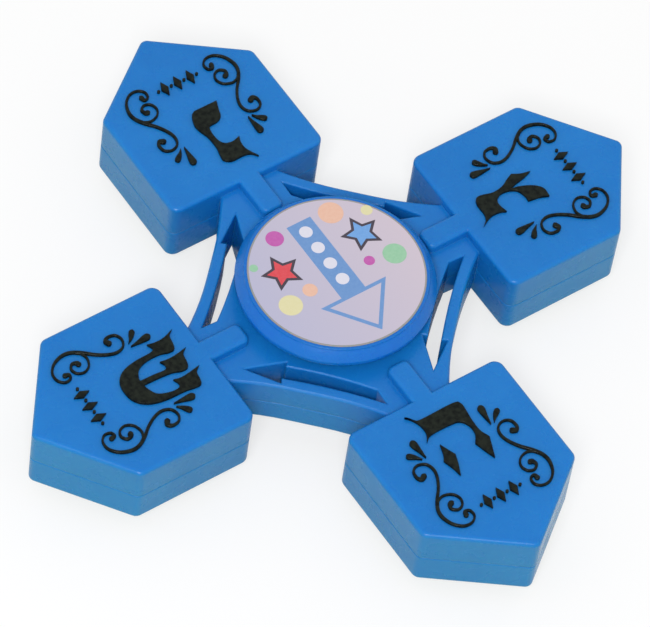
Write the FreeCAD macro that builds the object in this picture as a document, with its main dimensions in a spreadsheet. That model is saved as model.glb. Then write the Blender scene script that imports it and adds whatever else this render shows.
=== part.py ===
import FreeCAD, Part
import math
import os
import re

import Sketcher

# Four-armed dreidel spinner: two moulded shell halves round a ball bearing and four steel weights,
# turning between two finger caps.  Millimetres, +Z up.
#
# The origin is on the table, under the middle of the lower cap; the bearing axis is Z and the four
# heads lie on the axes: nun +Y, gimel +X, he -Y, shin -X.  The object stands on its lower cap.

os.makedirs("parts", exist_ok=True)
doc = FreeCAD.newDocument("dreidel_spinner")

# --- driving dimensions -------------------------------------------------------------------------
DRIVING = {
    # heads: a dreidel outline with its square end to the hub and its point outwards
    "head_half_width": 11.33, "head_inner": 19.0, "head_shoulder": 35.6, "head_tip": 44.0,
    "head_thickness": 9.75, "head_corner": 1.3, "shoulder_round": 1.2, "tip_round": 1.0,
    "edge_round": 0.5,
    # hub plate: as thick as the bearing, with four curved strips between the heads
    "hub_thickness": 7.0, "strip_reach": 15.65, "strip_flat": 2.3, "strip_curve": 40.0,
    "strip_edge": 0.25, "root_depth": 0.6,
    # raised rib from each head towards the cap
    "rib_half_width": 1.5, "rib_inner": 13.4, "rib_corner": 0.8,
    # arrow slot between two heads: tail near one head, point near the next, clockwise from above
    "slot_tail_x": 3.7, "slot_tail_y": 17.05, "slot_heel_x": 3.6, "slot_heel_y": 14.9,
    "slot_neck_in_x": 11.35, "slot_neck_in_y": 6.35, "slot_barb_in_x": 10.9, "slot_barb_in_y": 5.85,
    "slot_tip_x": 15.9, "slot_tip_y": 4.05, "slot_barb_out_x": 13.15, "slot_barb_out_y": 8.05,
    "slot_neck_out_x": 12.7, "slot_neck_out_y": 7.45, "slot_inner_curve": 60.0,
    "slot_outer_curve": 77.0, "slot_edge": 0.15,
    # how the two shells meet, and what they hold
    "parting_height": 4.7, "seam": 0.12, "shell_floor": 1.6,
    "pin_radius": 0.9, "pin_height": 2.0, "pin_gap": 0.05, "pin_reach": 40.2,
    "weight_radius": 7.5, "weight_thickness": 6.4, "weight_reach": 29.0, "weight_gap": 0.1,
    "weight_chamfer": 0.4,
    # ball bearing, the common 8 x 22 x 7 size
    "bearing_bore": 4.0, "bearing_outer": 11.0, "bearing_width": 7.0, "bearing_chamfer": 0.3,
    "pitch_radius": 7.5, "ball_radius": 1.9845, "ball_gap": 0.01, "groove_radius": 2.05,
    "inner_land": 6.05, "outer_land": 8.95, "shield_seat": 9.6, "shield_seat_depth": 0.8,
    "shield_thickness": 0.35, "shield_bore": 6.35,
    "cage_inner": 6.7, "cage_outer": 8.3, "cage_drop": 2.5, "cage_rise": 0.9, "pocket_radius": 2.04,
    # finger caps
    "cap_radius": 12.5, "cap_face": 11.5, "cap_proud": 2.65, "cap_face_step": 0.2,
    "cap_shoulder_drop": 1.45, "cap_edge": 2.2, "cap_shoulder_curve": 6.0, "cap_wall": 1.4,
    "cap_rim_wall": 1.2, "cap_boss": 5.5, "cap_stem_gap": 0.1, "cap_lip": 0.25,
    "key_radius": 2.0, "key_depth": 2.6, "key_gap": 0.3,
    "label_radius": 11.35, "label_thickness": 0.13,
}
# Sizes that follow from the driving dimensions, kept in the sheet too.
DERIVED = {
    "head_bottom": "cap_proud",
    "head_top": "cap_proud + head_thickness",
    "parting": "cap_proud + parting_height",
    "middle": "cap_proud + head_thickness / 2",
    "hub_bottom": "middle - hub_thickness / 2",
    "hub_top": "middle + hub_thickness / 2",
    "cap_height": "cap_proud + head_thickness / 2",
    "cap_top": "middle + cap_height",
    "root": "head_inner + root_depth",
}
BALLS = 7
HEADS = {"nun": 90, "gimel": 0, "he": -90, "shin": 180}
# How edges are picked by their place: how near they must be, and how tall an upright one must be.
NEAR, LEAST_UPRIGHT = 0.05, 1.0

sheet = doc.addObject("Spreadsheet::Sheet", "sizes")
cells = {**{alias: str(value) for alias, value in DRIVING.items()},
         **{alias: "=" + formula for alias, formula in DERIVED.items()}}
for row, (alias, content) in enumerate(cells.items(), start=1):
    sheet.set(f"A{row}", alias)
    sheet.set(f"B{row}", content)
    sheet.setAlias(f"B{row}", alias)
doc.recompute()


def bound(text):
    """An expression on the sheet's cells, from one written with bare aliases."""
    return re.sub(r"[a-z][a-z_]*", lambda m: f"sizes.{m[0]}" if m[0] in cells else m[0], text)


def size(text):
    """The number that an expression on the sheet's cells gives now."""
    value = sheet.evalExpression(bound(text))
    return float(getattr(value, "Value", value))


def bind(thing, prop, text):
    thing.setExpression(prop, bound(text))


# --- sketches -----------------------------------------------------------------------------------
def new_body(name):
    body = doc.addObject("PartDesign::Body", name)
    body.Label = name
    return body


def new_sketch(body, name, plane="XY_Plane", level="0"):
    """A sketch on one of the body's own origin planes, moved along its normal to a level."""
    sketch = body.newObject("Sketcher::SketchObject", name)
    sketch.AttachmentSupport = [(next(f for f in body.Origin.OriginFeatures if f.Role == plane), "")]
    sketch.MapMode = "FlatFace"
    if level != "0":
        bind(sketch, "AttachmentOffset.Base.z", level)
    return sketch


def pin_point(sketch, edge, end, x, y):
    """Hold one end of an edge at a place given by two expressions."""
    for axis, kind, text in ((-2, "DistanceX", x), (-1, "DistanceY", y)):
        if text == "0":
            sketch.addConstraint(Sketcher.Constraint("PointOnObject", edge, end, axis))
            continue
        index = sketch.addConstraint(Sketcher.Constraint(kind, -1, 1, edge, end, size(text)))
        bind(sketch, f"Constraints[{index}]", text)


def arc_between(start, end, radius):
    """The arc under a half turn from start to end, bulging to the right of the way when the
    radius is positive; with it, whether its own start is the given one."""
    way = end - start
    side = FreeCAD.Vector(way.y, -way.x, 0).normalize()
    rise = math.sqrt(radius ** 2 - (way.Length / 2) ** 2)
    centre = start + way / 2 - side * math.copysign(rise, radius)
    first, last = (start, end) if radius > 0 else (end, start)
    turn = [math.atan2(p.y - centre.y, p.x - centre.x) for p in (first, last)]
    whole = Part.Circle(centre, FreeCAD.Vector(0, 0, 1), abs(radius))
    return Part.ArcOfCircle(whole, turn[0], turn[1]), radius > 0


def outline(sketch, corners):
    """A closed outline.  Each corner is (x, y) or (x, y, radius); with a radius, the edge that
    leaves it is an arc, bulging to the right of the way when the radius is positive."""
    points = [FreeCAD.Vector(size(c[0]), size(c[1]), 0) for c in corners]
    ends = []
    for i, corner in enumerate(corners):
        start, end = points[i], points[(i + 1) % len(points)]
        if len(corner) == 3:
            curve, forward = arc_between(start, end, size(corner[2]))
            edge = sketch.addGeometry(curve)
            index = sketch.addConstraint(Sketcher.Constraint("Radius", edge, curve.Radius))
            bind(sketch, f"Constraints[{index}]", f"abs({corner[2]})")
            ends.append((edge, 1, 2) if forward else (edge, 2, 1))
        else:
            ends.append((sketch.addGeometry(Part.LineSegment(start, end)), 1, 2))
    for i, (edge, first, last) in enumerate(ends):
        pin_point(sketch, edge, first, corners[i][0], corners[i][1])
        following = ends[(i + 1) % len(ends)]
        sketch.addConstraint(Sketcher.Constraint("Coincident", edge, last, following[0], following[1]))


def circle(sketch, x, y, radius):
    centre = FreeCAD.Vector(size(x), size(y), 0)
    edge = sketch.addGeometry(Part.Circle(centre, FreeCAD.Vector(0, 0, 1), size(radius)))
    pin_point(sketch, edge, 3, x, y)
    index = sketch.addConstraint(Sketcher.Constraint("Radius", edge, size(radius)))
    bind(sketch, f"Constraints[{index}]", radius)


# --- features -----------------------------------------------------------------------------------
def pad(body, sketch, length, up=True):
    feature = body.newObject("PartDesign::Pad", sketch.Name + "_pad")
    feature.Profile = sketch
    bind(feature, "Length", length)
    feature.Reversed = not up
    return feature


def pocket(body, sketch, length, up=True):
    feature = body.newObject("PartDesign::Pocket", sketch.Name + "_pocket")
    feature.Profile = sketch
    bind(feature, "Length", length)
    feature.Reversed = up
    return feature


def revolve(body, sketch):
    feature = body.newObject("PartDesign::Revolution", sketch.Name + "_turned")
    feature.Profile = sketch
    feature.ReferenceAxis = (sketch, ["V_Axis"])
    feature.Angle = 360
    return feature


def pattern(body, level_sketch, originals, count):
    """The features again, evenly round the normal of a sketch that lies level."""
    feature = body.newObject("PartDesign::PolarPattern", body.Name + "_round")
    feature.Originals = originals
    feature.Axis = (level_sketch, ["N_Axis"])
    feature.Angle = 360
    feature.Occurrences = count
    body.Tip = feature
    doc.recompute()
    return feature


def dress(body, kind, name, chosen, amount):
    """A fillet or chamfer on the edges of the body so far that pass a test."""
    base = body.Tip
    edges = [f"Edge{i}" for i, edge in enumerate(base.Shape.Edges, start=1) if chosen(edge)]
    feature = body.newObject(f"PartDesign::{kind}", f"{body.Name}_{name}")
    feature.Base = (base, edges)
    bind(feature, "Radius" if kind == "Fillet" else "Size", amount)
    doc.recompute()
    if "Invalid" in feature.State or not feature.Shape.isValid():
        raise RuntimeError(f"{feature.Name} failed on {len(edges)} edges")
    return feature


def folded(point):
    """The point turned by quarter turns about Z into the sector of the nun head, 45 to 135."""
    x, y = point.x, point.y
    while not (y > abs(x) or (y == abs(x) and x > 0)):
        x, y = -y, x
    return x, y


def upright_at(places):
    """A test for upright edges that stand near one of the places, in any of the four sectors."""
    def chosen(edge):
        low, high = edge.Vertexes[0].Point, edge.Vertexes[-1].Point
        if abs(low.z - high.z) < LEAST_UPRIGHT or math.hypot(low.x - high.x, low.y - high.y) > NEAR:
            return False
        middle = (low + high) / 2
        for _ in HEADS:
            if any(math.hypot(middle.x - x, middle.y - y) < NEAR for x, y in places):
                return True
            middle = FreeCAD.Vector(-middle.y, middle.x, 0)
        return False
    return chosen


def level_at(height, test):
    """A test for edges that lie at one height and whose middle passes a test on (x, y)."""
    def chosen(edge):
        middle = edge.valueAt((edge.FirstParameter + edge.LastParameter) / 2)
        heights = [vertex.Point.z for vertex in edge.Vertexes] + [middle.z]
        return all(math.isclose(z, height, abs_tol=1e-4) for z in heights) and test(*folded(middle))
    return chosen


# --- the two moulded shells ---------------------------------------------------------------------
STRIP_CENTRE_X = "(strip_reach - strip_flat + strip_curve) * sqrt(0.5)"
STRIP_CENTRE_Y = "(strip_reach + strip_flat + strip_curve) * sqrt(0.5)"
STRIP_END = f"({STRIP_CENTRE_X} - sqrt(strip_curve ^ 2 - ({STRIP_CENTRE_Y} - root) ^ 2))"
STRIP_NEAR = "(strip_reach - strip_flat) * sqrt(0.5)"
STRIP_FAR = "(strip_reach + strip_flat) * sqrt(0.5)"
SLOT_CORNERS = ("tail", "heel", "neck_in", "barb_in", "tip", "barb_out", "neck_out")
SLOT_CURVES = {"heel": "slot_inner_curve", "neck_out": "-slot_outer_curve"}


def plate_outline(sketch):
    """A quarter of the hub plate, from the axis out to the roots of two heads."""
    outline(sketch, [
        ("0", "0"), ("root", "0"), ("root", STRIP_END, "-strip_curve"), (STRIP_FAR, STRIP_NEAR),
        (STRIP_NEAR, STRIP_FAR, "-strip_curve"), (STRIP_END, "root"), ("0", "root")])


def head_outline(sketch):
    outline(sketch, [
        ("-head_half_width", "head_inner"), ("head_half_width", "head_inner"),
        ("head_half_width", "head_shoulder"), ("0", "head_tip"), ("-head_half_width", "head_shoulder")])


def rib_outline(sketch):
    outline(sketch, [("-rib_half_width", "rib_inner"), ("rib_half_width", "rib_inner"),
                     ("rib_half_width", "root"), ("-rib_half_width", "root")])


def slot_outline(sketch):
    outline(sketch, [(f"slot_{corner}_x", f"slot_{corner}_y",
                      *([SLOT_CURVES[corner]] if corner in SLOT_CURVES else []))
                     for corner in SLOT_CORNERS])


def moulded_shell(name, up):
    """One half: hub plate, heads, ribs and slots from the parting plane to one face, with a seat
    for half of each weight, and in the heads' tips pins (lower) or sockets (upper)."""
    body = new_body(name)
    hub_depth, head_depth = (("(hub_top - parting)", "(head_top - parting)") if up else
                             ("(parting - hub_bottom)", "(parting - head_bottom)"))

    def drawn(part, draw, *places):
        sketch = new_sketch(body, f"{name}_{part}", level="parting")
        draw(sketch, *places)
        return sketch

    plate = drawn("plate", plate_outline)
    seat = drawn("seat", circle, "0", "weight_reach", "weight_radius + weight_gap")
    pin = drawn("pin", circle, "0", "pin_reach", "pin_radius + pin_gap" if up else "pin_radius")
    sector = [
        pad(body, plate, hub_depth, up),
        pad(body, drawn("head", head_outline), head_depth, up),
        pad(body, drawn("rib", rib_outline), head_depth, up),
        pocket(body, drawn("slot", slot_outline), "hub_thickness", up),
        pocket(body, seat, f"{head_depth} - shell_floor", up),
        pocket(body, pin, "pin_height + 2 * pin_gap", up) if up else pad(body, pin, "pin_height")]
    doc.recompute()
    pattern(body, plate, sector, len(HEADS))

    pocket(body, drawn("bore", circle, "0", "0", "bearing_outer"), "hub_thickness", up)
    doc.recompute()
    round_corners(body)
    round_faces(body, size("hub_top" if up else "hub_bottom"), size("head_top" if up else "head_bottom"))
    return body


def round_corners(body):
    """Round the upright corners of the heads and the ribs."""
    width, inner, shoulder, rib, rib_end = (size(n) for n in (
        "head_half_width", "head_inner", "head_shoulder", "rib_half_width", "rib_inner"))
    dress(body, "Fillet", "corners", upright_at([(width, inner), (-width, inner)]), "head_corner")
    dress(body, "Fillet", "shoulders", upright_at([(width, shoulder), (-width, shoulder)]),
          "shoulder_round")
    dress(body, "Fillet", "tips", upright_at([(0, size("head_tip"))]), "tip_round")
    dress(body, "Fillet", "rib_ends", upright_at([(rib, rib_end), (-rib, rib_end)]), "rib_corner")


def round_faces(body, hub_face, head_face):
    """Round the edges of the heads and ribs, and ease those of the hub plate and the seam."""
    dress(body, "Fillet", "head_edges", level_at(head_face, lambda x, y: True), "edge_round")
    dress(body, "Chamfer", "slot_edges", level_at(hub_face, on_slot), "slot_edge")
    dress(body, "Chamfer", "strip_edges", level_at(hub_face, on_hub_rim), "strip_edge")
    dress(body, "Chamfer", "seam", level_at(size("parting"), on_outer_rim), "seam")


def on_hub_rim(x, y):
    """Whether a folded point lies on the outer edge of a strip."""
    centre = (size(STRIP_CENTRE_X), size(STRIP_CENTRE_Y))
    off_curve = math.dist(centre, (abs(x), y)) - size("strip_curve")
    off_flat = (abs(x) + y) * math.sqrt(0.5) - size("strip_reach")
    return min(abs(off_curve), abs(off_flat)) < NEAR and y < size("head_inner")


def on_head_rim(x, y):
    """Whether a folded point lies on a head's outline or on one of its rounded corners."""
    slope = (size("head_tip") - size("head_shoulder")) / size("head_half_width")
    to_point = (size("head_tip") - y - slope * abs(x)) / math.hypot(1, slope)
    inside = min(size("head_half_width") - abs(x), y - size("head_inner"), to_point)
    return -NEAR < inside < size("head_corner") / 2


def on_outer_rim(x, y):
    return on_hub_rim(x, y) or on_head_rim(x, y)


def on_slot(x, y):
    """Whether a folded point of the hub face lies on the edge of an arrow slot."""
    beside_rib = abs(x) > size("rib_half_width") + NEAR
    beyond_bore = math.hypot(x, y) > size("bearing_outer") + NEAR
    return beside_rib and beyond_bore and y < size("head_inner") - NEAR and not on_hub_rim(x, y)


# --- steel weights ------------------------------------------------------------------------------
def round_plate(name, y, radius, level, thickness):
    body = new_body(name)
    face = new_sketch(body, f"{name}_face", level=level)
    circle(face, "0", y, radius)
    pad(body, face, thickness)
    doc.recompute()
    return body


def weight(name, azimuth):
    """A steel disc in the middle of a head."""
    body = round_plate(name, "weight_reach", "weight_radius", "head_bottom + shell_floor",
                       "weight_thickness")
    dress(body, "Chamfer", "edges", lambda edge: len(edge.Vertexes) == 1, "weight_chamfer")
    body.Placement.Rotation = FreeCAD.Rotation(FreeCAD.Vector(0, 0, 1), azimuth - HEADS["nun"])
    return body


# --- ball bearing -------------------------------------------------------------------------------
def turned(name, corners):
    """A piece turned about Z from corners (radius, height above the middle plane[, arc])."""
    body = new_body(name)
    profile = new_sketch(body, f"{name}_profile", "XZ_Plane")
    outline(profile, [(radius, f"middle + {height}", *arc) for radius, height, *arc in corners])
    revolve(body, profile)
    doc.recompute()
    return body


def groove_half(depth):
    """Half the height of a raceway groove of a given depth where it meets its land."""
    return f"sqrt(groove_radius ^ 2 - (groove_radius - ({depth})) ^ 2)"


def outer_ring():
    half, seat = "bearing_width / 2", "(bearing_width / 2 - shield_seat_depth)"
    eased = "(bearing_width / 2 - bearing_chamfer)"
    groove = groove_half("pitch_radius + ball_radius + ball_gap - outer_land")
    return turned("bearing_outer_ring", [
        ("bearing_outer", f"-{eased}"), ("bearing_outer", eased),
        ("bearing_outer - bearing_chamfer", half), ("shield_seat", half), ("shield_seat", seat),
        ("outer_land", seat), ("outer_land", groove, "-groove_radius"), ("outer_land", f"-{groove}"),
        ("outer_land", f"-{seat}"), ("shield_seat", f"-{seat}"), ("shield_seat", f"-{half}"),
        ("bearing_outer - bearing_chamfer", f"-{half}")])


def inner_ring():
    half, eased = "bearing_width / 2", "(bearing_width / 2 - bearing_chamfer)"
    groove = groove_half("inner_land - pitch_radius + ball_radius + ball_gap")
    return turned("bearing_inner_ring", [
        ("bearing_bore", f"-{eased}"), ("bearing_bore + bearing_chamfer", f"-{half}"),
        ("inner_land", f"-{half}"), ("inner_land", f"-{groove}", "-groove_radius"),
        ("inner_land", groove), ("inner_land", half), ("bearing_bore + bearing_chamfer", half),
        ("bearing_bore", eased)])


def shield(name, sign):
    inside = f"{sign}(bearing_width / 2 - shield_seat_depth)"
    outside = f"{sign}(bearing_width / 2 - shield_seat_depth + shield_thickness)"
    return turned(name, [("shield_bore", inside), ("shield_seat", inside),
                         ("shield_seat", outside), ("shield_bore", outside)])


def ball(number):
    """A ball in the raceway; the first one stands on -Y."""
    thing = doc.addObject("Part::Sphere", f"bearing_ball_{number + 1}")
    azimuth = f"(360 * {number} / {BALLS} - 90)"
    bind(thing, "Radius", "ball_radius")
    bind(thing, "Placement.Base.x", f"pitch_radius * cos{azimuth}")
    bind(thing, "Placement.Base.y", f"pitch_radius * sin{azimuth}")
    bind(thing, "Placement.Base.z", "middle")
    return thing


def crown_cage():
    """A moulded crown: a ring with a round pocket for each ball, open at the top by less than
    the ball's width, so that it snaps over the balls from below."""
    body = new_body("bearing_cage")
    ring = new_sketch(body, "bearing_cage_ring", level="middle - cage_drop")
    circle(ring, "0", "0", "cage_outer")
    circle(ring, "0", "0", "cage_inner")
    pad(body, ring, "cage_drop + cage_rise")
    opening = new_sketch(body, "bearing_cage_opening", "XZ_Plane", "cage_inner / 2")
    circle(opening, "0", "middle", "pocket_radius")
    opening_pocket = pocket(body, opening, "cage_outer")
    doc.recompute()
    pattern(body, ring, [opening_pocket], BALLS)
    return body


# --- finger caps --------------------------------------------------------------------------------
def cap(name, up):
    """A flat-faced cap whose stem is pressed into the bearing; the lower one has a key that goes
    into the upper one's stem."""
    sign, arc = ("", "-cap_shoulder_curve") if up else ("-", "cap_shoulder_curve")
    rim_foot, stem_end = "(cap_height - cap_edge)", "cap_stem_gap"
    key_end = "(cap_stem_gap + key_depth)" if up else "(cap_stem_gap - key_depth + key_gap)"
    rows = [
        ("0", "cap_height"), ("cap_face", "cap_height"),
        ("cap_face", "(cap_height - cap_face_step)", arc),
        ("cap_radius", "(cap_height - cap_shoulder_drop)"),
        ("cap_radius", f"({rim_foot} + cap_lip)"), ("cap_radius - cap_lip", rim_foot),
        ("cap_radius - cap_rim_wall", rim_foot),
        ("cap_radius - cap_rim_wall", "(cap_height - cap_wall)"),
        ("cap_boss", "(cap_height - cap_wall)"), ("cap_boss", "bearing_width / 2"),
        ("bearing_bore", "bearing_width / 2"), ("bearing_bore", f"({stem_end} + cap_lip)"),
        ("bearing_bore - cap_lip", stem_end), ("key_radius", stem_end), ("key_radius", key_end),
        ("0", key_end)]
    return turned(name, [(radius, sign + height, *curve) for radius, height, *curve in rows])


# --- the object ---------------------------------------------------------------------------------
pieces = [moulded_shell("upper_shell", up=True), moulded_shell("lower_shell", up=False)]
pieces += [weight(f"weight_{letter}", azimuth) for letter, azimuth in HEADS.items()]
pieces += [outer_ring(), inner_ring()]
pieces += [ball(number) for number in range(BALLS)]
pieces += [crown_cage(), shield("shield_upper", ""), shield("shield_lower", "-")]
pieces += [cap("cap_upper", up=True), cap("cap_lower", up=False)]
pieces.append(round_plate("pointer_label", "0", "label_radius", "cap_top", "label_thickness"))
doc.recompute()

for thing in doc.Objects:
    if {"Invalid", "Error"} & set(thing.State):
        raise RuntimeError(f"{thing.Label} is {thing.State}")
for piece in pieces:
    shape = piece.Shape
    if shape.isNull() or not shape.isValid():
        raise RuntimeError(f"{piece.Label} has no sound shape")
    shape.exportStep(f"parts/{piece.Label}.step")
    print(piece.Label, len(shape.Solids), "solids", round(shape.Volume, 1), "mm3")
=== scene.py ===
import math

import bmesh
import bpy
import numpy as np
from mathutils import Matrix, Vector


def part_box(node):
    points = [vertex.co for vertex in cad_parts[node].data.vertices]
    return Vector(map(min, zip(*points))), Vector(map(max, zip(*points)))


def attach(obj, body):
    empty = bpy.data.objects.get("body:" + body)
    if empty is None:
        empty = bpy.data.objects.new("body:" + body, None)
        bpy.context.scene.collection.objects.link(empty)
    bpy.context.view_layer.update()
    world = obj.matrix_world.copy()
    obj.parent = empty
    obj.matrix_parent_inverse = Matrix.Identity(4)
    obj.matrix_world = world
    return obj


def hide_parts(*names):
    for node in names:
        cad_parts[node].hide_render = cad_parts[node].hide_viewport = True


# A four-armed finger spinner whose arms are dreidel heads, each with one letter in raised relief.
# It lies on its lower cap. The steel and the plastic solids come with the frame and get their
# finish here. The letters, scrolls, drops and the label's print are built here, in millimetres.

MM = 0.001

# The way each head points, in degrees from +X, anticlockwise seen from above.
HEADS = {"gimel": 0, "nun": 90, "shin": 180, "he": 270}
BALLS = 7
LABEL_RADIUS = 11.1


# ---------------------------------------------------------------- colours and nodes

# The inputs and the output of a colour mix.
SHARE, FIRST, SECOND, MIXED = 0, 6, 7, 2


def linear(colour):
    """An sRGB hex colour as linear red, green, blue and alpha."""
    parts = [int(colour[i:i + 2], 16) / 255 for i in (1, 3, 5)]
    return (*(c / 12.92 if c <= 0.04045 else ((c + 0.055) / 1.055) ** 2.4 for c in parts), 1.0)


def add(tree, kind, inputs=None, **settings):
    """A new node with its settings. Each of its inputs gets a value, or a link from a socket."""
    node = tree.nodes.new(kind)
    for name, value in settings.items():
        setattr(node, name, value)
    for socket, value in (inputs or {}).items():
        if isinstance(value, bpy.types.NodeSocket):
            tree.links.new(value, node.inputs[socket])
        else:
            node.inputs[socket].default_value = value
    return node


def finish(name):
    """An empty material, its tree and a place on the object in millimetres."""
    material = bpy.data.materials.new(name)
    material.use_nodes = True
    tree = material.node_tree
    tree.nodes.clear()
    place = add(tree, "ShaderNodeVectorMath", {
        0: add(tree, "ShaderNodeTexCoord").outputs["Object"], "Scale": 1 / MM,
    }, operation="SCALE").outputs[0]
    return material, tree, place


# ---------------------------------------------------------------- materials

def moulded_plastic(name, deep, fair, roughness):
    """ABS or nylon, injection moulded in a lightly polished tool: a soft gloss, faint flow shades
    some centimetres long and a fine eroded grain that breaks up the highlights on the edges."""
    material, tree, place = finish(name)
    flow = add(tree, "ShaderNodeTexNoise", {
        "Vector": place, "Scale": 1 / 17, "Detail": 7.0, "Roughness": 0.7,
    })
    tint = add(tree, "ShaderNodeMix", {
        SHARE: flow.outputs[0], FIRST: linear(deep), SECOND: linear(fair),
    }, data_type="RGBA")
    # Finger marks some 3 mm across make it a little duller or glossier.
    handled = add(tree, "ShaderNodeTexNoise", {"Vector": place, "Scale": 1 / 3, "Detail": 5.0})
    gloss = add(tree, "ShaderNodeMapRange", {
        "Value": handled.outputs[0], "From Min": 0.35, "From Max": 0.7,
        "To Min": roughness - 0.05, "To Max": roughness + 0.07,
    })
    # The real grain is about 0.05 mm. It is drawn at 0.3 mm, so that it shows.
    grain = add(tree, "ShaderNodeTexNoise", {"Vector": place, "Scale": 1 / 0.3, "Detail": 4.0})
    soft = add(tree, "ShaderNodeBevel", {"Radius": 0.25 * MM}, samples=6)
    skin = add(tree, "ShaderNodeBump", {
        "Height": grain.outputs[0], "Strength": 0.4, "Distance": 0.03 * MM,
        "Normal": soft.outputs[0],
    })
    shader = add(tree, "ShaderNodeBsdfPrincipled", {
        "Base Color": tint.outputs[MIXED], "Roughness": gloss.outputs[0], "IOR": 1.46,
        "Specular IOR Level": 0.3, "Subsurface Weight": 0.3, "Subsurface Radius": (0.3, 0.6, 1.0),
        "Subsurface Scale": 2.5 * MM, "Normal": skin.outputs[0],
    })
    add(tree, "ShaderNodeOutputMaterial", {"Surface": shader.outputs[0]})
    return material


def stamped_ink(name):
    """Black ink, hot stamped on raised relief: nearly flat, greener and paler where it is thin,
    with small glints where the pad has left it thick."""
    material, tree, place = finish(name)
    # Thin patches 0.6 mm across, and lumps of 0.45 mm.
    patch = add(tree, "ShaderNodeTexNoise", {"Vector": place, "Scale": 1 / 0.6, "Detail": 5.0})
    thin = add(tree, "ShaderNodeMapRange", {
        "Value": patch.outputs[0], "From Min": 0.35, "From Max": 0.65,
    })
    tint = add(tree, "ShaderNodeMix", {
        SHARE: thin.outputs[0], FIRST: linear("#020806"), SECOND: linear("#1b211a"),
    }, data_type="RGBA")
    lumps = add(tree, "ShaderNodeTexNoise", {"Vector": place, "Scale": 1 / 0.45, "Detail": 3.0})
    soft = add(tree, "ShaderNodeBevel", {"Radius": 0.12 * MM}, samples=6)
    skin = add(tree, "ShaderNodeBump", {
        "Height": lumps.outputs[0], "Strength": 0.8, "Distance": 0.06 * MM,
        "Normal": soft.outputs[0],
    })
    shader = add(tree, "ShaderNodeBsdfPrincipled", {
        "Base Color": tint.outputs[MIXED], "Roughness": 0.26, "IOR": 1.4,
        "Specular IOR Level": 0.18, "Normal": skin.outputs[0],
    })
    add(tree, "ShaderNodeOutputMaterial", {"Surface": shader.outputs[0]})
    return material


def printed_film(name):
    """Pale printed film under a clear laminate: an even lilac ground, cooler at one side and
    pinker at the other, with the soft gloss of the laminate."""
    material, tree, place = finish(name)
    across = add(tree, "ShaderNodeSeparateXYZ", {"Vector": place})
    side = add(tree, "ShaderNodeMapRange", {
        "Value": across.outputs["X"], "From Min": -LABEL_RADIUS, "From Max": LABEL_RADIUS,
    })
    ground = add(tree, "ShaderNodeMix", {
        SHARE: side.outputs[0], FIRST: linear("#b2b1ca"), SECOND: linear("#c9bcc8"),
    }, data_type="RGBA")
    # Paper fibre of about 0.5 mm under the laminate.
    fibre = add(tree, "ShaderNodeTexNoise", {"Vector": place, "Scale": 1 / 0.5, "Detail": 4.0})
    skin = add(tree, "ShaderNodeBump", {
        "Height": fibre.outputs[0], "Strength": 0.1, "Distance": 0.03 * MM,
    })
    shader = add(tree, "ShaderNodeBsdfPrincipled", {
        "Base Color": ground.outputs[MIXED], "Roughness": 0.45, "IOR": 1.49,
        "Coat Weight": 0.3, "Coat Roughness": 0.25, "Normal": skin.outputs[0],
    })
    add(tree, "ShaderNodeOutputMaterial", {"Surface": shader.outputs[0]})
    return material


def print_ink(name, colour, paler):
    """Offset ink under the same laminate: it keeps its colour and has a fine uneven lay."""
    material, tree, place = finish(name)
    # A printing screen is about 0.15 mm. It is drawn at 0.4 mm, so that it shows.
    screen = add(tree, "ShaderNodeTexNoise", {"Vector": place, "Scale": 1 / 0.4, "Detail": 2.0})
    tint = add(tree, "ShaderNodeMix", {
        SHARE: screen.outputs[0], FIRST: linear(colour), SECOND: linear(paler),
    }, data_type="RGBA")
    shader = add(tree, "ShaderNodeBsdfPrincipled", {
        "Base Color": tint.outputs[MIXED], "Roughness": 0.45, "IOR": 1.49,
        "Coat Weight": 0.3, "Coat Roughness": 0.25,
    })
    add(tree, "ShaderNodeOutputMaterial", {"Surface": shader.outputs[0]})
    return material


def ground_steel(name, colour, roughness, stretch):
    """Bearing steel, ground and oiled: a dark even grey with fine lines left by the wheel."""
    material, tree, place = finish(name)
    drawn = add(tree, "ShaderNodeMapping", {"Vector": place, "Scale": stretch})
    # Real grinding lines are finer. They are drawn at 0.5 mm, before the stretch, to show.
    lines = add(tree, "ShaderNodeTexNoise", {
        "Vector": drawn.outputs[0], "Scale": 1 / 0.5, "Detail": 6.0,
    })
    gloss = add(tree, "ShaderNodeMapRange", {
        "Value": lines.outputs[0], "To Min": roughness - 0.08, "To Max": roughness + 0.1,
    })
    skin = add(tree, "ShaderNodeBump", {
        "Height": lines.outputs[0], "Strength": 0.2, "Distance": 0.02 * MM,
    })
    shader = add(tree, "ShaderNodeBsdfPrincipled", {
        "Base Color": linear(colour), "Metallic": 1.0, "Roughness": gloss.outputs[0],
        "Normal": skin.outputs[0],
    })
    add(tree, "ShaderNodeOutputMaterial", {"Surface": shader.outputs[0]})
    return material


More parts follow.
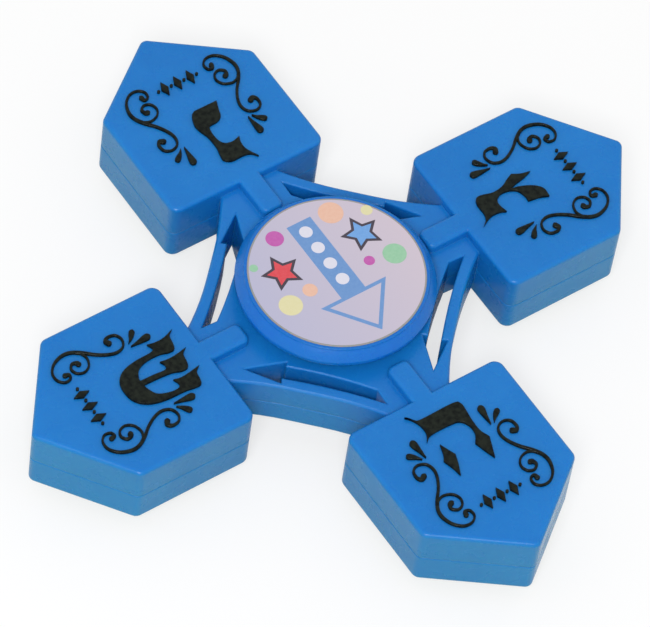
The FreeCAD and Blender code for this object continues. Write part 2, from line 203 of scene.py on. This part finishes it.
def dress(frame):
    """The finish of every solid that comes with the frame."""
    body = moulded_plastic("moulded_abs_body_blue", "#0769b8", "#1a80ce", 0.27)
    cap = moulded_plastic("moulded_abs_cap_blue", "#0c6ac4", "#1270cc", 0.25)
    rings = ground_steel("ground_bearing_steel", "#b9b7b2", 0.28, (1, 1, 12))
    balls = ground_steel("polished_ball_steel", "#c9c8c6", 0.14, (1, 1, 1))
    pressed = ground_steel("pressed_shield_steel", "#aaa8a3", 0.34, (3, 3, 3))
    weights = ground_steel("turned_weight_steel", "#a5a6a8", 0.36, (4, 4, 1))
    cage = moulded_plastic("moulded_nylon_cage_cream", "#d9d2bd", "#e2dcc9", 0.5)
    finishes = {
        "upper_shell": body, "lower_shell": body, "cap_upper": cap, "cap_lower": cap,
        "bearing_outer_ring": rings, "bearing_inner_ring": rings, "bearing_cage": cage,
        "shield_upper": pressed, "shield_lower": pressed, "pointer_label": cap,
        **{f"weight_{letter}": weights for letter in HEADS},
        **{f"bearing_ball_{i + 1}": balls for i in range(BALLS)},
    }
    for name, material in finishes.items():
        slots = frame["nodes"][name].data.materials
        slots.clear()
        slots.append(material)


# ---------------------------------------------------------------- outlines

S = True  # marks a point where an outline runs on smoothly; the others are corners

ROUNDING = [math.radians(a) for a in (0, 30, 60, 90)]  # the steps of a rounded upper edge
STROKE_SHARE = 0.8  # how much of a stroke's half width its rounded edge may take
TIP_SHARE = 0.4  # how much of the way across a thin tip its rounded edge may reach
SHARP = math.radians(40)  # an edge that turns by more stays crisp
TINY = 1e-6  # a length that counts as none


def along(points, steps):
    """Points on a smooth line through the given ones, each with as many numbers as they have."""
    ends = [[2 * a - b for a, b in zip(points[0], points[1])], *points,
            [2 * a - b for a, b in zip(points[-1], points[-2])]]
    line = []
    for before, start, end, after in zip(ends, ends[1:], ends[2:], ends[3:]):
        for i in range(steps):
            t = i / steps
            line.append([
                0.5 * (2 * q + (r - p) * t + (2 * p - 5 * q + 4 * r - s) * t * t
                       + (3 * q - p - 3 * r + s) * t ** 3)
                for p, q, r, s in zip(before, start, end, after)
            ])
    return [*line, list(points[-1])]


def cornered(points, steps=5):
    """A closed outline from corners and smooth points. It starts at a corner."""
    closed = [*points, points[0]]
    corners = [i for i, point in enumerate(closed) if len(point) == 2]
    outline = []
    for start, end in zip(corners, corners[1:]):
        run = [point[:2] for point in closed[start:end + 1]]
        outline += run[:1] if len(run) == 2 else along(run, steps)[:-1]
    return outline


def circle(radius, x=0.0, y=0.0, parts=96):
    """A circle's outline."""
    turns = [2 * math.pi * i / parts for i in range(parts)]
    return [(x + radius * math.cos(a), y + radius * math.sin(a)) for a in turns]


def star(radius, x, y, points=5, waist=0.5):
    """A star's outline, with one point away from the arrow's tip."""
    outline = []
    for i in range(2 * points):
        reach = radius * (waist if i % 2 else 1)
        a = math.pi * (0.5 + i / points)
        outline.append((x + reach * math.cos(a), y + reach * math.sin(a)))
    return outline


# ---------------------------------------------------------------- raised shapes

def rings_joined(corners, count):
    """The faces of a shape whose corners come in rings of that many: its two ends and sides."""
    last = len(corners) - count
    faces = [list(range(count)), [last + i for i in range(count)]]
    for first in range(0, last, count):
        for i in range(count):
            here, beside = first + i, first + (i + 1) % count
            faces.append((here, beside, beside + count, here + count))
    return faces


def swept(points, low, high, edge, steps=7, turns=5):
    """The corners and faces of a raised stroke with round ends and a rounded upper edge. A point
    is x, y and half the stroke's width."""
    line = along(points, steps)

    def round_end(tip, inner):
        x, y, half = tip
        run = math.hypot(x - inner[0], y - inner[1])
        dx, dy = (x - inner[0]) / run, (y - inner[1]) / run
        angles = [math.pi / 2 * i / turns for i in range(1, turns)]
        return [(x + dx * half * math.sin(a), y + dy * half * math.sin(a), half * math.cos(a))
                for a in angles]

    line = [*reversed(round_end(line[0], line[1])), *line, *round_end(line[-1], line[-2])]
    corners = []
    for i, (x, y, half) in enumerate(line):
        a, b = line[max(i - 1, 0)], line[min(i + 1, len(line) - 1)]
        run = math.hypot(b[0] - a[0], b[1] - a[1])
        nx, ny = (a[1] - b[1]) / run, (b[0] - a[0]) / run
        soft = min(edge, STROKE_SHARE * half)
        side = [(half, low)]
        side += [(half - soft * (1 - math.cos(a)), high - soft + soft * math.sin(a))
                 for a in ROUNDING]
        profile = side + [(-reach, level) for reach, level in reversed(side)]
        corners += [(x + reach * nx, y + reach * ny, level) for reach, level in profile]
    return corners, rings_joined(corners, len(profile))


def rounded_room(outline, edge):
    """Each point's way inwards, and how far its rounded edge may reach: less at thin tips."""
    here = np.array(outline)
    before, after = np.roll(here, 1, 0), np.roll(here, -1, 0)
    side = after - here
    inward = sum(np.stack([-run[:, 1], run[:, 0]], 1) / np.linalg.norm(run, axis=1)[:, None]
                 for run in (side, here - before))
    inward /= np.maximum(np.linalg.norm(inward, axis=1), TINY)[:, None]
    room = []
    for i, (point, way) in enumerate(zip(here, inward)):
        cross = way[0] * side[:, 1] - way[1] * side[:, 0]
        cross = np.where(abs(cross) < TINY, TINY, cross)
        gap = here - point
        reach = (gap[:, 0] * side[:, 1] - gap[:, 1] * side[:, 0]) / cross
        share = (gap[:, 0] * way[1] - gap[:, 1] * way[0]) / cross
        met = (share >= 0) & (share <= 1) & (reach > TINY)
        met[[i, i - 1]] = False
        room.append(min(edge, TIP_SHARE * reach[met].min(initial=math.inf)))
    return inward, np.array(room)


def raised(outline, low, high, edge=0):
    """The corners and faces of a flat-topped raised shape, with its upper edge rounded."""
    following = outline[1:] + outline[:1]
    if sum(a[0] * b[1] - b[0] * a[1] for a, b in zip(outline, following)) < 0:
        outline = outline[::-1]
    levels = [(np.array(outline), low), (np.array(outline), high - edge)]
    if edge:
        inward, room = rounded_room(outline, edge)
        levels += [(levels[0][0] + inward * (room * (1 - math.cos(a)))[:, None],
                    high - edge + edge * math.sin(a)) for a in ROUNDING[1:]]
    corners = [(x, y, level) for places, level in levels for x, y in places]
    return corners, rings_joined(corners, len(outline))


def solid(name, shapes, material):
    """One mesh, in metres, of all the closed shapes, each of which is its corners and faces."""
    corners, faces = [], []
    for places, sides in shapes:
        faces += [[len(corners) + i for i in side] for side in sides]
        corners += [(x * MM, y * MM, z * MM) for x, y, z in places]
    mesh = bpy.data.meshes.new(name)
    mesh.from_pydata(corners, [], faces)
    work = bmesh.new()
    work.from_mesh(mesh)
    bmesh.ops.recalc_face_normals(work, faces=work.faces)
    work.to_mesh(mesh)
    work.free()
    mesh.materials.append(material)
    mesh.shade_smooth()
    mesh.set_sharp_from_angle(angle=SHARP)
    return mesh


def placed(name, mesh, turn, body):
    """The mesh as a piece, turned round the hub's axis, that rides on that body."""
    piece = bpy.data.objects.new(name, mesh)
    bpy.context.scene.collection.objects.link(piece)
    piece.matrix_world = Matrix.Rotation(math.radians(turn), 4, "Z")
    even = piece.modifiers.new("even_shading", "WEIGHTED_NORMAL")
    even.keep_sharp = True
    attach(piece, body)
    return piece


# ---------------------------------------------------------------- relief on the heads

RELIEF_HEIGHT = 0.40
RELIEF_SUNK = 0.05
LETTER_EDGE = 0.07
STROKE_EDGE = 0.13
CURL_DROP = 0.03  # the side curl stands this much lower than the stem that it grows from

# Each letter stands with its head towards the hub: x is to its right, y is minus the distance
# from the hub's axis.
LETTERS = {
    "he": [
        [(-3.85, -20.75), (-3.05, -21.6, S), (-2.2, -21.95, S), (2.45, -21.95, S),
         (3.3, -22.5, S), (3.3, -23.6, S), (3.1, -25.2, S), (3.1, -26.9, S), (3.6, -28.2),
         (2.95, -29.8, S), (2.45, -31.0), (2.0, -29.7, S), (1.55, -28.1), (2.3, -27.0, S),
         (2.4, -25.8, S), (1.9, -24.8, S), (0.9, -24.4, S), (-2.3, -24.4, S), (-3.5, -25.1),
         (-2.8, -23.9, S), (-2.8, -22.6, S), (-3.3, -21.4, S)],
        [(-2.3, -26.1), (-1.8, -27.4, S), (-1.45, -28.2), (-1.95, -29.6, S), (-2.6, -31.0),
         (-2.85, -29.6, S), (-3.25, -28.3), (-2.75, -27.5, S)],
    ],
    "shin": [
        [(-4.4, -21.1), (-3.7, -21.9, S), (-2.5, -22.15, S), (-1.75, -22.5, S),
         (-1.75, -23.4, S), (-2.05, -24.5, S), (-2.0, -26.4, S), (-1.4, -27.8, S),
         (-0.3, -28.5, S), (0.05, -28.5), (0.1, -26.6, S), (0.2, -25.1, S), (-0.35, -24.7, S),
         (-1.1, -25.0), (-0.95, -24.0, S), (-1.0, -22.8, S), (-1.3, -21.1), (-0.6, -21.9, S),
         (0.6, -22.15, S), (1.3, -22.5, S), (1.35, -23.4, S), (0.95, -24.6, S),
         (0.8, -26.4, S), (0.75, -28.5), (1.4, -28.4, S), (2.6, -27.8, S), (3.2, -26.4, S),
         (3.25, -25.1, S), (2.7, -24.7, S), (1.9, -25.0), (2.1, -24.0, S), (2.0, -22.8, S),
         (1.7, -21.1), (2.4, -21.9, S), (3.4, -22.1, S), (4.15, -22.4, S), (4.2, -23.3, S),
         (4.0, -24.6, S), (3.9, -27.4, S), (3.3, -29.5, S), (2.1, -30.75, S), (0.5, -31.1, S),
         (-1.1, -30.8, S), (-2.2, -29.6, S), (-2.7, -27.6, S), (-2.8, -25.4, S),
         (-3.15, -24.7, S), (-4.0, -25.0), (-3.8, -24.0, S), (-3.85, -22.7, S)],
    ],
    "nun": [
        [(-2.6, -21.0), (-1.9, -21.75, S), (-0.9, -22.0, S), (0.7, -22.0, S), (1.6, -22.6, S),
         (1.55, -23.6, S), (1.3, -24.8, S), (1.35, -26.6, S), (1.75, -28.0, S),
         (1.8, -29.1, S), (1.3, -30.4, S), (0.7, -30.85), (-2.7, -30.85), (-2.2, -29.6, S),
         (-1.8, -28.5, S), (-1.0, -28.05, S), (0.2, -27.9, S), (0.55, -27.1, S),
         (0.55, -25.7, S), (0.1, -24.8, S), (-0.9, -24.5, S), (-2.15, -24.8),
         (-1.8, -23.9, S), (-1.8, -22.7, S)],
    ],
    "gimel": [
        [(-2.2, -20.9), (-1.5, -21.7, S), (-0.6, -22.05, S), (1.0, -22.1, S), (1.85, -22.6, S),
         (1.85, -23.5, S), (1.5, -24.9, S), (1.7, -26.4, S), (2.3, -27.6, S), (2.7, -28.5),
         (2.15, -29.6, S), (1.85, -30.9), (1.45, -29.7, S), (1.15, -28.2, S), (0.85, -27.2),
         (0.55, -28.5, S), (-0.2, -30.0, S), (-1.2, -30.85, S), (-2.5, -30.8),
         (-2.05, -29.6, S), (-1.8, -28.05), (-0.9, -28.1, S), (0.2, -27.7, S),
         (0.75, -26.7, S), (0.8, -25.6, S), (0.3, -24.75, S), (-0.5, -24.5, S),
         (-1.75, -24.75), (-1.4, -23.8, S), (-1.45, -22.5, S)],
    ],
}

# The right-hand half of the ornament round each letter. The left-hand half is its mirror image.
SCROLL_STEM = [
    (6.55, -28.85, 0.37), (7.0, -29.05, 0.29), (7.38, -28.55, 0.19), (7.2, -27.6, 0.16),
    (6.35, -27.17, 0.14), (5.35, -27.55, 0.15), (4.95, -28.55, 0.17), (5.2, -29.75, 0.18),
    (6.0, -31.15, 0.19), (7.05, -32.4, 0.21), (7.75, -33.6, 0.22), (7.88, -34.8, 0.21),
    (7.35, -36.2, 0.18), (6.3, -37.1, 0.16), (5.15, -37.15, 0.14), (4.42, -36.5, 0.14),
    (4.5, -35.65, 0.15), (5.1, -35.45, 0.19), (5.25, -35.95, 0.32),
]
SCROLL_CURL = [
    (7.45, -33.1, 0.19), (6.95, -32.55, 0.16), (6.05, -32.3, 0.14), (5.0, -32.7, 0.14),
    (4.5, -33.6, 0.14), (4.8, -34.5, 0.15), (5.6, -34.82, 0.16), (6.25, -34.35, 0.19),
    (6.1, -33.75, 0.28), (5.85, -33.65, 0.35),
]
UPRIGHT_DROP = [(5.02, -24.35, 0.46), (4.98, -24.8, 0.42), (4.88, -25.7, 0.24), (4.8, -26.75, 0.04)]
SLANTED_DROP = [(6.5, -25.6, 0.38), (6.15, -25.88, 0.34), (5.75, -26.25, 0.2), (5.35, -26.75, 0.04)]

# A small row of lozenges and dots below each letter.
ROW_LEVEL = -35.7
LOZENGE_WIDE = 0.52  # half its width
LOZENGE_TALL = 1.1  # half its height
LOZENGE_PLACES = (-1.9, 0.0, 1.9)
DOT_RADIUS = 0.2
DOT_PLACES = (-2.85, -0.95, 0.95, 2.85)


def mirrored(points):
    """The same stroke on the other side of the letter."""
    return [(-x, y, half) for x, y, half in points]


def lozenge(x):
    """The outline of one lozenge of the row."""
    return [(x - LOZENGE_WIDE, ROW_LEVEL), (x, ROW_LEVEL - LOZENGE_TALL),
            (x + LOZENGE_WIDE, ROW_LEVEL), (x, ROW_LEVEL + LOZENGE_TALL)]


def head_relief(ink):
    """The letter, the scrolls, the drops and the small row of shapes on each of the four heads."""
    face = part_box("upper_shell")[1][2] / MM
    low, high = face - RELIEF_SUNK, face + RELIEF_HEIGHT

    def strokes(lines, top):
        return [swept(side, low, top, STROKE_EDGE)
                for points in lines for side in (points, mirrored(points))]

    row = [lozenge(x) for x in LOZENGE_PLACES]
    row += [circle(DOT_RADIUS, x, ROW_LEVEL, parts=20) for x in DOT_PLACES]
    shared = {
        "scroll": strokes([SCROLL_STEM], high),
        "curl": strokes([SCROLL_CURL], high - CURL_DROP),
        "drops": strokes([UPRIGHT_DROP, SLANTED_DROP], high),
        "row": [raised(outline, low, high, LETTER_EDGE) for outline in row],
    }
    meshes = {part: solid(part, shapes, ink) for part, shapes in shared.items()}
    for letter, turn in HEADS.items():
        sign = [raised(cornered(outline), low, high, LETTER_EDGE) for outline in LETTERS[letter]]
        for part, mesh in {"letter": solid("letter", sign, ink), **meshes}.items():
            placed(f"{part}_{letter}", mesh, turn + 90, "spinner")


# ---------------------------------------------------------------- the label on the cap

EDGE_LINE = 0.22  # how wide the printed line round the label is

# How high the layers stand over the cap's face. The steps are larger than those of real ink, so
# that no layer shows through the next.
ROOT = 0.02  # where the prints start, inside the film
RIM = 0.08
FILM = 0.09
PRINT = 0.105
OVERPRINT = 0.122
RIM_EDGE = 0.04  # how far the film's edge is rounded

# The arrow points along -Y, to the head with the letter he.
SHAFT = 1.75  # half the shaft's width
SHAFT_END = 8.6
BARB = 4.8  # half the head's width
BARB_LEVEL = -3.6
TIP = -9.9
LINE = 0.5  # how wide the line round the head is
SHAFT_DOTS = (6.9, 4.2, 1.5, -1.2)
SHAFT_DOT_RADIUS = 0.85

# The stars and the dots beside the arrow: a colour, a radius and a place.
STARS = [("red", 2.35, -5.9, 3.3), ("blue", 2.35, 5.9, 3.3)]
STAR_BORDER = 0.4
DOTS = [("yellow", 1.5, -7.7, -1.3), ("green", 1.5, 7.7, -1.3), ("magenta", 1.15, -3.9, 8.0),
        ("peach", 1.6, 4.3, 7.8), ("peach", 0.95, -4.4, -0.6), ("magenta", 0.7, 4.4, -0.6),
        ("green", 0.55, -8.6, 5.6), ("yellow", 0.75, 8.4, 5.9)]


def label():
    """The film with its printed edge line, a plain pointer arrow, and stars and dots beside it."""
    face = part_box("cap_upper")[1][2] / MM
    edge = print_ink("ink_edge_line", "#6f9486", "#a98a92")
    rim = raised(circle(LABEL_RADIUS), face, face + RIM, RIM_EDGE)
    base = placed("label_film", solid("label_film", [rim], edge), 0, "caps")
    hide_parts("pointer_label")

    inks = {
        "dark": print_ink("ink_dark", "#2a2230", "#3c3142"),
        "red": print_ink("ink_red", "#cf2f3a", "#d9505a"),
        "blue": print_ink("ink_blue", "#5b93d3", "#78a8de"),
        "yellow": print_ink("ink_yellow", "#d6cf9c", "#dcd6ae"),
        "green": print_ink("ink_green", "#85bb96", "#9cc7a8"),
        "magenta": print_ink("ink_magenta", "#b4479f", "#c063ad"),
        "peach": print_ink("ink_peach", "#dfae96", "#e3bca8"),
        "arrow": print_ink("ink_arrow", "#5a86c0", "#6f97ca"),
        "white": print_ink("ink_white", "#d3d3e2", "#dbd9e4"),
        "ground": printed_film("printed_film_lilac"),
    }

    def printed(name, ink, height, outlines):
        shapes = [raised(outline, face + ROOT, face + height) for outline in outlines]
        placed(name, solid(name, shapes, inks[ink]), 0, "caps")

    printed("label_ground", "ground", FILM, [circle(LABEL_RADIUS - EDGE_LINE)])
    arrow = [(-SHAFT, SHAFT_END), (-SHAFT, BARB_LEVEL), (-BARB, BARB_LEVEL), (0, TIP),
             (BARB, BARB_LEVEL), (SHAFT, BARB_LEVEL), (SHAFT, SHAFT_END)]
    printed("arrow_line", "arrow", PRINT, [arrow])
    slope = (BARB_LEVEL - TIP) / BARB
    inset = LINE * math.hypot(1, slope)
    inner_barb = BARB - LINE / slope - inset / slope
    inner_level = BARB_LEVEL - LINE
    head = [(-inner_barb, inner_level), (0, TIP + inset), (inner_barb, inner_level)]
    printed("arrow_head", "ground", OVERPRINT, [head])
    printed("arrow_dots", "white", OVERPRINT,
            [circle(SHAFT_DOT_RADIUS, 0, y, parts=40) for y in SHAFT_DOTS])
    printed("star_borders", "dark", PRINT, [star(r + STAR_BORDER, x, y) for _, r, x, y in STARS])
    for colour, radius, x, y in STARS:
        printed(f"star_{colour}", colour, OVERPRINT, [star(radius - STAR_BORDER, x, y)])
    for colour in sorted({dot[0] for dot in DOTS}):
        dots = [circle(r, x, y, parts=48) for ink, r, x, y in DOTS if ink == colour]
        printed(f"dots_{colour}", colour, PRINT, dots)


# ---------------------------------------------------------------- floor, lights, camera

FLOOR_SIZE = 6  # metres
FLOOR_GLOW = 0.65  # how much of the floor's white the camera sees as its own light
SKY = 0.6  # how brightly the sky lights the object; 1 is white
LAMP = 6.2  # watts
LAMP_SIZE = 0.3  # metres
LAMP_PLACE = (-0.45, -0.45, 0.8)  # metres

# The photograph's viewpoint: its angles round the object, and the point that it looks at.
AZIMUTH, ELEVATION, ROLL = (math.radians(a) for a in (-41.45, 54.936, 9.194))
DISTANCE = 624.50
TARGET = (1.050, 2.159, 2.65)
LENS = 276.95
SENSOR = 36


def seen_or_not(tree):
    """Whether the camera sees a surface directly, and whether it sees it in any way, also in a
    gloss or through glass. Both are 0 for the light that the surface throws on the object."""
    path = add(tree, "ShaderNodeLightPath").outputs
    mirrored_too = add(tree, "ShaderNodeMath", {
        0: path["Is Glossy Ray"], 1: path["Is Transmission Ray"],
    }, operation="ADD")
    seen = add(tree, "ShaderNodeMath", {
        0: path["Is Camera Ray"], 1: mirrored_too.outputs[0],
    }, operation="ADD", use_clamp=True)
    return path["Is Camera Ray"], seen.outputs[0]


def floor():
    """A plain pale board that stays white behind the object and keeps a soft shadow. The light
    that it throws up at the object's walls is warm."""
    bpy.ops.mesh.primitive_plane_add(size=FLOOR_SIZE)
    board = bpy.context.object
    board.name = "floor"
    material, tree, _ = finish("matt_pale_board")
    direct, seen = seen_or_not(tree)
    colour = add(tree, "ShaderNodeMix", {
        SHARE: seen, FIRST: linear("#f4f494"), SECOND: linear("#f8f8f8"),
    }, data_type="RGBA")
    shaded = add(tree, "ShaderNodeBsdfDiffuse", {"Color": colour.outputs[MIXED]})
    white = add(tree, "ShaderNodeEmission", {"Strength": 1.0})
    glow = add(tree, "ShaderNodeMath", {0: direct, 1: FLOOR_GLOW}, operation="MULTIPLY")
    surface = add(tree, "ShaderNodeMixShader", {
        0: glow.outputs[0], 1: shaded.outputs[0], 2: white.outputs[0],
    })
    add(tree, "ShaderNodeOutputMaterial", {"Surface": surface.outputs[0]})
    board.data.materials.append(material)


def sky():
    """An even light from all round, from a sky that is plain white where it is seen."""
    world = bpy.data.worlds.new("even_sky")
    bpy.context.scene.world = world
    world.use_nodes = True
    tree = world.node_tree
    tree.nodes.clear()
    _, seen = seen_or_not(tree)
    strength = add(tree, "ShaderNodeMapRange", {"Value": seen, "To Min": SKY, "To Max": 1.0})
    light = add(tree, "ShaderNodeBackground", {
        "Color": (1, 1, 1, 1), "Strength": strength.outputs[0],
    })
    add(tree, "ShaderNodeOutputWorld", {"Surface": light.outputs[0]})


def softbox():
    """One large soft lamp over the viewer's side, turned to the object."""
    data = bpy.data.lights.new("softbox", "AREA")
    data.energy = LAMP
    data.size = LAMP_SIZE
    lamp = bpy.data.objects.new("softbox", data)
    bpy.context.scene.collection.objects.link(lamp)
    place = Vector(LAMP_PLACE)
    aim = place.to_track_quat("Z", "Y").to_matrix().to_4x4()
    lamp.matrix_world = Matrix.Translation(place) @ aim


def camera():
    """The photograph's viewpoint: high over one pair of heads, with a long lens."""
    back = Vector((0, -math.cos(ELEVATION), math.sin(ELEVATION)))
    right = Vector((1, 0, 0))
    up = back.cross(right)
    level = Matrix((right, up, back)).transposed()
    turned = (Matrix.Rotation(AZIMUTH, 3, "Z") @ level @ Matrix.Rotation(ROLL, 3, "Z")).to_4x4()
    data = bpy.data.cameras.new("camera")
    data.sensor_fit = "HORIZONTAL"
    data.sensor_width = SENSOR
    data.lens = LENS
    data.clip_start = 0.01
    data.clip_end = 20
    view = bpy.data.objects.new("camera", data)
    bpy.context.scene.collection.objects.link(view)
    place = Vector(TARGET) * MM + DISTANCE * MM * turned.to_3x3().col[2]
    view.matrix_world = Matrix.Translation(place) @ turned
    bpy.context.scene.camera = view


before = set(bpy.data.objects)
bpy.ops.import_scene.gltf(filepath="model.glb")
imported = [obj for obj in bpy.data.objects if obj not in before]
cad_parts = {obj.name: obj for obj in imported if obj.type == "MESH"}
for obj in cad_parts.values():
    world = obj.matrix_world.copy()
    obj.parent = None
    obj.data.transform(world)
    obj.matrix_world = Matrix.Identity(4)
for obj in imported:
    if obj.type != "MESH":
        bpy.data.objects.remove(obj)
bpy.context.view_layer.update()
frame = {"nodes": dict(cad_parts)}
bpy.context.scene.view_settings.view_transform = "Standard"
floor()
sky()
softbox()
camera()
dress(frame)
head_relief(stamped_ink("stamped_black_ink"))
label()
